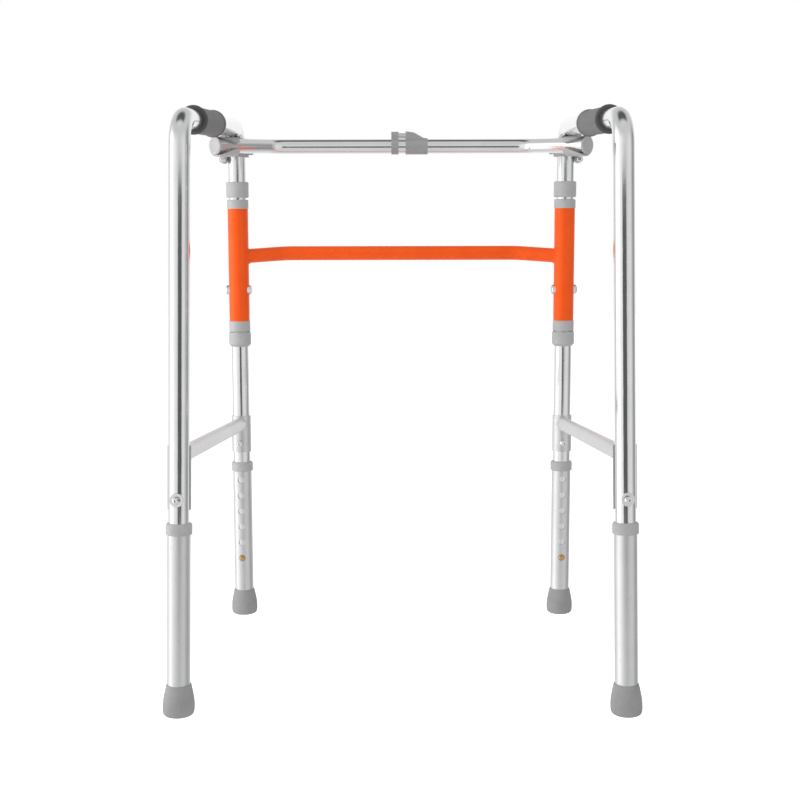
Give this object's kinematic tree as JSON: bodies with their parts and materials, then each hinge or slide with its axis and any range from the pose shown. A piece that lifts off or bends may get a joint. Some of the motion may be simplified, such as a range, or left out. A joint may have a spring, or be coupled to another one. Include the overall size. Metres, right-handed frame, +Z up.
{
  "type": "walking frame",
  "caption": "Folding walking frame with hand grips, two front crossbars, hinged side frames with braces, and height-adjustable legs on rubber feet.",
  "frame": {"origin": "on the floor at the middle of the overall width and depth", "axes": "+Z up, +Y from the user towards the front crossbars, +X to the user's right"},
  "size_m": [0.581, 0.4818, 0.7399],
  "materials": {
    "bright_tube": "polished",
    "satin_tube": "satin anodised",
    "orange_paint": "gloss",
    "light_plastic": "satin",
    "mid_plastic": "satin",
    "grip_rubber": "matte",
    "foot_rubber": "satin",
    "chrome": "polished",
    "steel": "plain",
    "brass": "satin"
  },
  "bodies": {
    "front_frame": {"upper_crossbar": "bright_tube", "lower_crossbar": "orange_paint", "left_sleeve": "orange_paint", "right_sleeve": "orange_paint", "left_hinge_block": "light_plastic", "right_hinge_block": "light_plastic", "left_hinge_cap": "light_plastic", "right_hinge_cap": "light_plastic", "top_bushes": "light_plastic", "bottom_bushes": "light_plastic", "sleeve_studs": "chrome", "hinge_bolts": "chrome", "release_collar": "mid_plastic", "guide_rod": "chrome"},
    "release": {"release_slider": "mid_plastic"},
    "left_side": {"left_side_tube": "bright_tube", "left_grip": "grip_rubber", "left_upper_ring": "light_plastic", "left_lower_ring": "light_plastic", "left_brace": "satin_tube", "left_brace_bolts": "chrome", "left_brace_nuts": "chrome", "left_brace_washer": "chrome", "left_snap_springs": "steel"},
    "left_front_leg": {"left_front_leg_tube": "satin_tube", "left_front_collar": "light_plastic", "left_front_foot": "foot_rubber", "left_front_foot_disc": "steel"},
    "left_front_button": {"left_front_snap_button": "brass"},
    "left_rear_leg": {"left_rear_leg_tube": "satin_tube", "left_rear_collar": "light_plastic", "left_rear_foot": "foot_rubber", "left_rear_foot_disc": "steel"},
    "left_rear_button": {"left_rear_snap_button": "brass"},
    "right_side": {"right_side_tube": "bright_tube", "right_grip": "grip_rubber", "right_upper_ring": "light_plastic", "right_lower_ring": "light_plastic", "right_brace": "satin_tube", "right_brace_bolts": "chrome", "right_brace_nuts": "chrome", "right_brace_washer": "chrome", "right_snap_springs": "steel"},
    "right_front_leg": {"right_front_leg_tube": "satin_tube", "right_front_collar": "light_plastic", "right_front_foot": "foot_rubber", "right_front_foot_disc": "steel"},
    "right_front_button": {"right_front_snap_button": "brass"},
    "right_rear_leg": {"right_rear_leg_tube": "satin_tube", "right_rear_collar": "light_plastic", "right_rear_foot": "foot_rubber", "right_rear_foot_disc": "steel"},
    "right_rear_button": {"right_rear_snap_button": "brass"}
  },
  "joints": [
    {"name": "left_fold", "type": "hinge", "parent": "front_frame", "child": "left_side", "pos_m": [-0.241, 0.2036, 0.3], "axis": [0, 0, 1], "range_deg": [0, 90]},
    {"name": "right_fold", "type": "hinge", "parent": "front_frame", "child": "right_side", "pos_m": [0.241, 0.2036, 0.3], "axis": [0, 0, -1], "range_deg": [0, 52]},
    {"name": "release_slide", "type": "slide", "parent": "front_frame", "child": "release", "axis": [-1, 0, 0], "range_m": [0, 0.008], "stiffness_N_per_m": 300, "springref_m": -0.008},
    {"name": "left_front_extend", "type": "slide", "parent": "left_side", "child": "left_front_leg", "axis": [0, 0, -1], "range_m": [0, 0.12], "deforming": ["left_front_snap_button", "left_snap_springs"]},
    {"name": "left_front_press", "type": "slide", "parent": "left_side", "child": "left_front_button", "axis": [0.0708, 0.9975, 0], "range_m": [0, 0.0038], "stiffness_N_per_m": 400, "springref_m": -0.004},
    {"name": "left_rear_extend", "type": "slide", "parent": "left_side", "child": "left_rear_leg", "axis": [-0.0184, -0.0384, -0.9991], "range_m": [0, 0.12], "deforming": ["left_rear_snap_button", "left_snap_springs"]},
    {"name": "left_rear_press", "type": "slide", "parent": "left_side", "child": "left_rear_button", "axis": [-0.0701, -0.9968, 0.0396], "range_m": [0, 0.0038], "stiffness_N_per_m": 400, "springref_m": -0.004},
    {"name": "right_front_extend", "type": "slide", "parent": "right_side", "child": "right_front_leg", "axis": [0, 0, -1], "range_m": [0, 0.12], "deforming": ["right_front_snap_button", "right_snap_springs"]},
    {"name": "right_front_press", "type": "slide", "parent": "right_side", "child": "right_front_button", "axis": [-0.0708, 0.9975, 0], "range_m": [0, 0.0038], "stiffness_N_per_m": 400, "springref_m": -0.004},
    {"name": "right_rear_extend", "type": "slide", "parent": "right_side", "child": "right_rear_leg", "axis": [0.0184, -0.0384, -0.9991], "range_m": [0, 0.12], "deforming": ["right_rear_snap_button", "right_snap_springs"]},
    {"name": "right_rear_press", "type": "slide", "parent": "right_side", "child": "right_rear_button", "axis": [0.0701, -0.9968, 0.0396], "range_m": [0, 0.0038], "stiffness_N_per_m": 400, "springref_m": -0.004}
  ]
}
